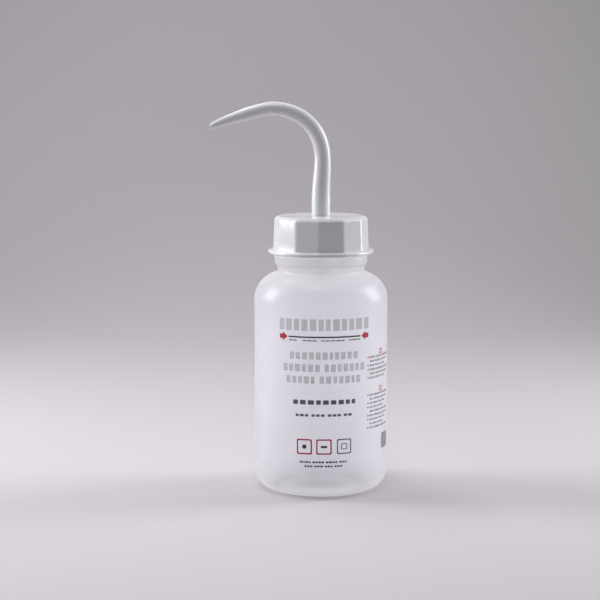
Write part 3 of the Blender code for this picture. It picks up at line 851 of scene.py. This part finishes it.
# ---- spout and dip tube -------------------------------------------------------------------------------
def spout_path():
    """Centreline from the cap's top to the tip, and the outer and bore radius at each point."""
    foot_top = Vector((0.0, 0.0, CAP_TOP_Z + STRAIGHT_FOOT))
    bend = Vector((LEAN_X, 0.0, CAP_TOP_Z + RISE_TO_BEND))
    apex = Vector((APEX_X, 0.0, CAP_TOP_Z + APEX_HEIGHT))
    tip = Vector((TIP_X, 0.0, CAP_TOP_Z + TIP_HEIGHT))
    up = Vector((0.0, 0.0, 1.0))
    back = Vector((-1.0, 0.0, 0.0))
    tip_dir = Vector((-math.cos(TIP_SLOPE), 0.0, -math.sin(TIP_SLOPE)))
    lean = (RISE_TO_BEND - STRAIGHT_FOOT) / 3

    riser = bezier(foot_top, foot_top + up * lean, bend - up * lean, bend, 12)
    arch_handles = (bend + up * BEND_HANDLES[0], apex - back * BEND_HANDLES[1])
    arch = bezier(bend, *arch_handles, apex, 44)
    reach_handles = (apex + back * NOZZLE_HANDLES[0], tip - tip_dir * NOZZLE_HANDLES[1])
    reach = bezier(apex, *reach_handles, tip, 48)
    nozzle_steps = round(len(reach) * NOZZLE_SHARE)

    points = [Vector((0.0, 0.0, CAP_TOP_Z)), foot_top]
    outer = [FOOT_RADIUS] * 2
    bore = [SPOUT_BORE_RADIUS] * 2

    def add(stretch, start, end, bore_end=SPOUT_BORE_RADIUS):
        for i, point in enumerate(stretch, 1):
            share = i / len(stretch)
            points.append(point)
            outer.append(start + (end - start) * share)
            bore.append(SPOUT_BORE_RADIUS + (bore_end - SPOUT_BORE_RADIUS) * share)

    add(riser, FOOT_RADIUS, BEND_START_RADIUS)
    add(arch, BEND_START_RADIUS, APEX_RADIUS)
    add(reach[:-nozzle_steps], APEX_RADIUS, NOZZLE_START_RADIUS)
    add(reach[-nozzle_steps:], NOZZLE_START_RADIUS, TIP_RADIUS, TIP_BORE_RADIUS)
    return points, outer, bore


def make_spout():
    up = Vector((0.0, 0.0, 1.0))
    flange = FOOT_RADIUS + SPOUT_FLANGE_WIDTH
    flange_low = INSERT_TOP_Z - SPOUT_FLANGE_THICKNESS
    seat_radius = DIP_RADIUS + SEAT_GAP
    seat_top = DIP_TOP_Z + SEAT_GAP
    stem = [
        (FOOT_RADIUS, STEM_Z),
        (FOOT_RADIUS, flange_low),
        (flange, flange_low),
        (flange, INSERT_TOP_Z),
        (FOOT_RADIUS, INSERT_TOP_Z),
        (FOOT_RADIUS, CAP_TOP_Z - 1.0),
    ]
    seat = [
        (SPOUT_BORE_RADIUS, CAP_TOP_Z - 1.0),
        (SPOUT_BORE_RADIUS, seat_top),
        (seat_radius, seat_top),
        (seat_radius, STEM_Z),
    ]
    points, outer, bore = spout_path()
    headings = directions(points)
    lip = SPOUT_LIP
    ahead = headings[-1]
    stations = [(Vector((0.0, 0.0, z)), up, r) for r, z in rounded(stem, STEM_ROUND, closed=False)]
    stations += list(zip(points[:-1], headings[:-1], outer[:-1]))
    end = [(points[-1] - ahead * lip, outer[-1] + 0.02), (points[-1], outer[-1] - lip)]
    end += [(points[-1], bore[-1] + lip), (points[-1] - ahead * lip, bore[-1])]
    stations += [(center, ahead, radius) for center, radius in end]
    stations += list(reversed(list(zip(points[:-1], headings[:-1], bore[:-1]))))
    stations += [(Vector((0.0, 0.0, z)), up, r) for r, z in rounded(seat, SEAT_ROUND, closed=False)]
    bm = tube(stations)
    return finish_mesh("spout_shell", bm, "spout", "spout", [SPOUT_WHITE])


def make_dip_tube():
    lean_top = STEM_Z - DIP_STRAIGHT
    points = [Vector((0.0, 0.0, DIP_TOP_Z)), Vector((0.0, 0.0, STEM_Z)), Vector((0.0, 0.0, lean_top))]
    for i in range(1, DIP_STEPS + 1):
        share = i / DIP_STEPS
        points.append(Vector((-DIP_LEAN * share**1.5, 0.0, lean_top + (dip_low.z - lean_top) * share)))
    headings = directions(points)
    bore = DIP_RADIUS - DIP_WALL
    lip = DIP_LIP
    first, last = points[0], points[-1]
    start, end = headings[0], headings[-1]
    stations = [(first, start, DIP_RADIUS - lip), (first + start * lip, start, DIP_RADIUS)]
    stations += [(p, h, DIP_RADIUS) for p, h in zip(points[1:-1], headings[1:-1])]
    stations += [(last - end * lip, end, DIP_RADIUS), (last, end, DIP_RADIUS - lip)]
    stations += [(last, end, bore + lip), (last - end * lip, end, bore)]
    stations += list(reversed([(p, h, bore) for p, h in zip(points[1:-1], headings[1:-1])]))
    stations += [(first + start * lip, start, bore), (first, start, bore + lip)]
    bm = tube(stations)
    return finish_mesh("dip_tube_shell", bm, "spout", "dip_tube", [DIP_CLEAR])


# ---- print --------------------------------------------------------------------------------------------
class Print:
    """Flat shapes in one ink, laid out in millimetres from the label's middle line, then wrapped."""

    def __init__(self):
        self.bm = bmesh.new()

    def shape(self, corners):
        self.bm.faces.new([self.bm.verts.new((u, v, 0.0)) for u, v in corners])

    def block(self, left, right, low, high, corner=0.3):
        """A rectangle with its corners clipped."""
        cut = min(corner, (right - left) * 0.3, (high - low) * 0.3)
        self.shape(
            [
                (left + cut, low),
                (right - cut, low),
                (right, low + cut),
                (right, high - cut),
                (right - cut, high),
                (left + cut, high),
                (left, high - cut),
                (left, low + cut),
            ]
        )

    def bullet(self, height):
        """The small block before a line of the side rows."""
        self.block(BULLET_LEFT, BULLET_RIGHT, height + 0.1, height + SIDE_LINE_HEIGHT, 0.2)

    def outline(self, corners, inset):
        """A closed band of even width inside the corners, which run round a middle point."""
        middle = sum((Vector(c) for c in corners), Vector((0.0, 0.0))) / len(corners)
        inner = [middle + (Vector(c) - middle) * inset for c in corners]
        outer_verts = [self.bm.verts.new((u, v, 0.0)) for u, v in corners]
        inner_verts = [self.bm.verts.new((c.x, c.y, 0.0)) for c in inner]
        count = len(corners)
        for i in range(count):
            j = (i + 1) % count
            self.bm.faces.new((outer_verts[i], outer_verts[j], inner_verts[j], inner_verts[i]))

    def row(self, start, end, low, high, groups, seed, gap=0.5, space=1.6):
        """A row of plain blocks that stands for a printed line: groups of blocks of mixed widths."""
        rng = random.Random(seed)
        widths = [[rng.uniform(0.8, 1.25) for _ in range(number)] for number in groups]
        gaps = gap * sum(len(group) - 1 for group in widths) + space * (len(widths) - 1)
        unit = (end - start - gaps) / sum(sum(group) for group in widths)
        left = start
        for group in widths:
            for width in group:
                self.block(left, left + width * unit, low, high, 0.25)
                left += width * unit + gap
            left += space - gap

    def wrap(self, name, material):
        """Bends the shapes round the bottle, gives them the ink's thickness and makes the object."""
        bm = self.bm
        reach = max(abs(v.co.x) for v in bm.verts)
        for k in range(-math.ceil(reach / INK_STEP), math.ceil(reach / INK_STEP) + 1):
            bmesh.ops.bisect_plane(
                bm,
                geom=bm.verts[:] + bm.edges[:] + bm.faces[:],
                plane_co=(k * INK_STEP, 0.0, 0.0),
                plane_no=(1.0, 0.0, 0.0),
            )
        made = bmesh.ops.extrude_face_region(bm, geom=bm.faces[:], use_keep_orig=True)
        for item in made["geom"]:
            if isinstance(item, bmesh.types.BMVert):
                item.co.z = INK_THICKNESS
        for vert in bm.verts:
            u, v, lift = vert.co
            angle = LABEL_TURN - math.pi / 2 + u / BODY_RADIUS
            vert.co = place(angle, BODY_RADIUS + INK_LIFT + lift, v)
        return finish_mesh(name, bm, "bottle", None, [material])


def arrow(point_u, tail_u, middle, half_head, half_shaft, head):
    """Corners of a block arrow that points from tail_u to point_u."""
    way = math.copysign(1.0, point_u - tail_u)
    neck = point_u - way * head
    corners = [
        (point_u, middle),
        (neck, middle + half_head),
        (neck, middle + half_shaft),
        (tail_u, middle + half_shaft),
        (tail_u, middle - half_shaft),
        (neck, middle - half_shaft),
        (neck, middle - half_head),
    ]
    return corners if way < 0 else list(reversed(corners))


def square(center_u, center_v, half, corner):
    """Corners of an upright square with rounded corners."""
    corners = []
    for quarter in range(4):
        middle_u = center_u + (half - corner) * (1 if quarter in (0, 3) else -1)
        middle_v = center_v + (half - corner) * (1 if quarter in (0, 1) else -1)
        for i in range(5):
            angle = math.pi / 2 * (quarter + i / 4)
            corners.append((middle_u + corner * math.cos(angle), middle_v + corner * math.sin(angle)))
    return corners


def make_print():
    """Plain stand-ins for the printed side. A row is left, right, low, high, blocks in each group, seed."""
    grey = Print()
    grey.row(-26.5, 26.5, 94.4, 100.8, [12], 3, gap=1.3)
    grey.row(-20.0, 19.0, 78.6, 82.6, [11], 5, gap=1.1)
    grey.row(-24.0, 23.5, 71.8, 76.0, [6, 7], 7, gap=1.1, space=2.8)
    grey.row(-22.0, 20.5, 65.3, 69.3, [5, 7], 9, gap=1.1, space=2.8)
    grey.wrap("print_grey_rows", INK_GREY)

    dark = Print()
    dark.block(-20.8, 20.8, 90.5, 91.3, 0.1)
    dark.row(-20.5, -15.8, 88.8, 89.4, [2], 11, gap=0.3)
    dark.row(-12.4, -4.6, 88.7, 89.3, [3], 12, gap=0.3)
    dark.row(-2.4, 11.0, 88.7, 89.3, [5], 13, gap=0.3)
    dark.row(13.3, 20.6, 88.8, 89.4, [3], 14, gap=0.3)
    dark.row(-14.0, 12.3, 20.9, 21.9, [4, 4, 4, 3], 15, gap=0.3, space=1.0)
    dark.row(-11.5, 9.6, 18.6, 19.6, [3, 3, 3, 3], 16, gap=0.3, space=1.0)
    dark.outline(square(10.8, ICON_Z, 4.2, 0.9), 0.86)
    dark.block(-12.6, -10.4, 28.9, 31.1)
    dark.block(-2.4, 1.2, 29.4, 30.6)
    dark.outline(square(10.8, ICON_Z, 1.7, 0.4), 0.75)
    dark.wrap("print_dark_marks", INK_DARK)

    soft = Print()
    soft.row(-18.0, 17.5, 53.6, 56.1, [9], 17, gap=1.2)
    soft.row(-16.5, 15.3, 46.9, 48.3, [3, 3, 3, 2], 18, gap=0.6, space=1.7)
    for number in range(7):
        height = 25.0 + 1.25 * number
        soft.block(40.0, 51.0, height, height + 0.9, 0.1)
    soft.wrap("print_small_rows", INK_SOFT)

    side = Print()
    for number in range(6):
        height = SIDE_TOP_LINE - SIDE_LINE_STEP * number
        right = 50.0 - 3.0 * (number % 3)
        top = height + SIDE_LINE_HEIGHT
        side.row(SIDE_LEFT, right, height, top, [3, 4, 2, 3], 31 + number, gap=0.2, space=0.8)
    for number in range(9):
        height = SIDE_LOW_LINE - SIDE_LINE_STEP * number
        right = 49.0 - 2.5 * (number % 4)
        top = height + SIDE_LINE_HEIGHT
        side.row(SIDE_LEFT, right, height, top, [2, 4, 3, 3], 41 + number, gap=0.2, space=0.8)
        if number % 3 != 1:
            side.bullet(height)
    side.wrap("print_side_rows", INK_PALE)

    red = Print()
    red.shape(arrow(-21.4, -26.5, 90.9, 2.5, 1.3, 2.9))
    red.shape(arrow(21.4, 26.5, 90.9, 2.5, 1.3, 2.9))
    red.outline(square(-11.5, ICON_Z, 4.3, 0.9), 0.82)
    red.outline(square(-0.6, ICON_Z, 4.3, 0.9), 0.82)
    for height in (80.6, 59.6):
        red.outline(square(38.5, height, 1.5, 0.4), 0.55)
    for number in (0, 2, 3, 5):
        height = SIDE_TOP_LINE - SIDE_LINE_STEP * number
        red.bullet(height)
    red.wrap("print_red_marks", INK_RED)


# ---- room, light and camera ---------------------------------------------------------------------------
def stage_material():
    """Pale studio paper with a faint tooth, lighter at the left than at the right: its right side has painted
    shade.
    """
    n = Nodes("studio_paper")
    split = n.add("ShaderNodeSeparateXYZ")
    n.link(n.coords.outputs["Object"], split.inputs["Vector"])
    across = n.ramp(split.outputs["X"], 0.0, 1.0, -PAPER_TINT_AND_SHADE_REACH, PAPER_TINT_AND_SHADE_REACH)
    # painted shade: the paper darkens towards the right
    color = n.two_colors(across, PAPER_LEFT, PAPER_RIGHT_PAINTED_SHADE, 0.0, 1.0)
    tooth = n.noise(900.0, 3.0, 0.6)
    normal = n.bump(tooth, 0.04, 0.0002)
    return n.show(n.principled(color, n.ramp(tooth, 0.75, 0.85), normal).outputs["BSDF"])


def make_stage():
    """A floor that sweeps up into a backdrop behind the object."""
    half_width = 3.2
    front = -2.2
    bend_y = 0.55
    bend = 0.75
    bend_steps = 24
    top = 3.0
    line = [(front, 0.0), (-1.0, 0.0), (0.0, 0.0), (bend_y, 0.0)]
    for i in range(1, bend_steps + 1):
        angle = math.pi / 2 * i / bend_steps
        line.append((bend_y + bend * math.sin(angle), bend * (1 - math.cos(angle))))
    line.append((bend_y + bend, top))
    bm = bmesh.new()
    for (y0, z0), (y1, z1) in zip(line, line[1:]):
        corners = [(-half_width, y0, z0), (half_width, y0, z0), (half_width, y1, z1), (-half_width, y1, z1)]
        bm.faces.new([bm.verts.new(c) for c in corners])
    bmesh.ops.remove_doubles(bm, verts=bm.verts, dist=TINY)
    for face in bm.faces:
        face.smooth = True
    mesh = bpy.data.meshes.new("studio_sweep")
    bm.to_mesh(mesh)
    bm.free()
    mesh.materials.append(stage_material())
    sweep = bpy.data.objects.new("studio_sweep", mesh)
    bpy.context.scene.collection.objects.link(sweep)


def area_light(name, place_at, aim_at, width, height, power, color=LIGHT_WHITE, spread=180.0):
    """A soft light the camera doesn't see: metres, watts, and the full angle it spreads over in degrees."""
    light = bpy.data.lights.new(name, "AREA")
    light.shape = "RECTANGLE"
    light.size = width
    light.size_y = height
    light.energy = power
    light.color = color
    light.spread = math.radians(spread)
    obj = bpy.data.objects.new(name, light)
    obj.location = place_at
    obj.rotation_euler = (Vector(aim_at) - Vector(place_at)).to_track_quat("-Z", "Y").to_euler()
    obj.visible_camera = False
    bpy.context.scene.collection.objects.link(obj)


def make_light():
    """Soft lights round the bottle, and a world that fills from above and looks pale to the camera."""
    world = bpy.data.worlds.new("studio")
    bpy.context.scene.world = world
    world.use_nodes = True
    tree = world.node_tree
    fill = tree.nodes["Background"]
    fill.inputs["Color"].default_value = (0.95, 0.95, 1.0, 1.0)
    coords = tree.nodes.new("ShaderNodeTexCoord")
    lobe = tree.nodes.new("ShaderNodeVectorMath")
    lobe.operation = "DOT_PRODUCT"
    lobe.inputs[1].default_value = SKY_TOWARDS
    tree.links.new(coords.outputs["Generated"], lobe.inputs[0])
    strength = tree.nodes.new("ShaderNodeMapRange")
    strength.inputs["To Min"].default_value = SKY_LEAST
    strength.inputs["To Max"].default_value = SKY_MOST
    tree.links.new(lobe.outputs["Value"], strength.inputs["Value"])
    tree.links.new(strength.outputs["Result"], fill.inputs["Strength"])
    seen = tree.nodes.new("ShaderNodeBackground")
    seen.inputs["Color"].default_value = (0.95, 0.93, 0.95, 1.0)
    seen.inputs["Strength"].default_value = SKY_SEEN
    path = tree.nodes.new("ShaderNodeLightPath")
    choice = tree.nodes.new("ShaderNodeMixShader")
    tree.links.new(path.outputs["Is Camera Ray"], choice.inputs["Fac"])
    tree.links.new(fill.outputs["Background"], choice.inputs[1])
    tree.links.new(seen.outputs["Background"], choice.inputs[2])
    tree.links.new(choice.outputs["Shader"], tree.nodes["World Output"].inputs["Surface"])
    left = (-0.743, 0.141, 0.38)
    right = (0.734, 0.213, 0.36)
    above = (-0.08, -0.3, 1.05)
    below = (-0.08, -0.3, 0.0)
    area_light("softbox_left", left, BOTTLE_MIDDLE, 0.36, 0.55, 2.85, spread=SOFTBOX_SPREAD)
    area_light("softbox_right", right, BOTTLE_MIDDLE, 0.36, 0.55, 2.6, LIGHT_COOL, SOFTBOX_SPREAD)
    area_light("overhead", above, below, 0.24, 0.4, 2.4)
    area_light("top_left", (-0.43, 0.42, 1.17), BOTTLE_MIDDLE, 0.2, 0.2, 1.9)
    area_light("top_back", (0.0, 0.55, 1.3), BOTTLE_MIDDLE, 1.2, 0.8, 5.0)
    area_light("backdrop", (0.0, 0.45, 1.1), (0.0, 1.25, 0.25), 1.0, 0.3, 1.05, spread=BACKDROP_SPREAD)


def make_camera():
    """The printed side seen from slightly above, with a long lens."""
    data = bpy.data.cameras.new("camera")
    data.lens = 102.0
    data.sensor_width = 36.0
    camera = bpy.data.objects.new("camera", data)
    camera.location = (-0.0118, -0.9536, 0.2305)
    camera.rotation_euler = (math.radians(90.0 - CAMERA_DIP), 0.0, 0.0)
    bpy.context.scene.collection.objects.link(camera)
    bpy.context.scene.camera = camera


def main():
    bpy.context.scene.view_settings.view_transform = "Standard"
    make_bottle()
    make_sealing_insert()
    gasket_inner = PLUG_RADIUS + SLIP_GAP
    make_ring(
        "gasket_ring",
        gasket_inner,
        gasket_high.x,
        gasket_low.z,
        gasket_high.z,
        GASKET_ROUND,
        "closure",
        "rim_gasket",
        GASKET_SOFT,
    )
    make_ring(
        "liner_ring",
        CAP_HOLE_RADIUS,
        LINER_RADIUS,
        LINER_Z,
        liner_high.z,
        LINER_ROUND,
        "liner",
        "cap_liner",
        LINER_FOAM,
    )
    make_spout()
    make_dip_tube()
    make_screw_cap()
    make_print()
    make_stage()
    make_light()
    make_camera()


main()
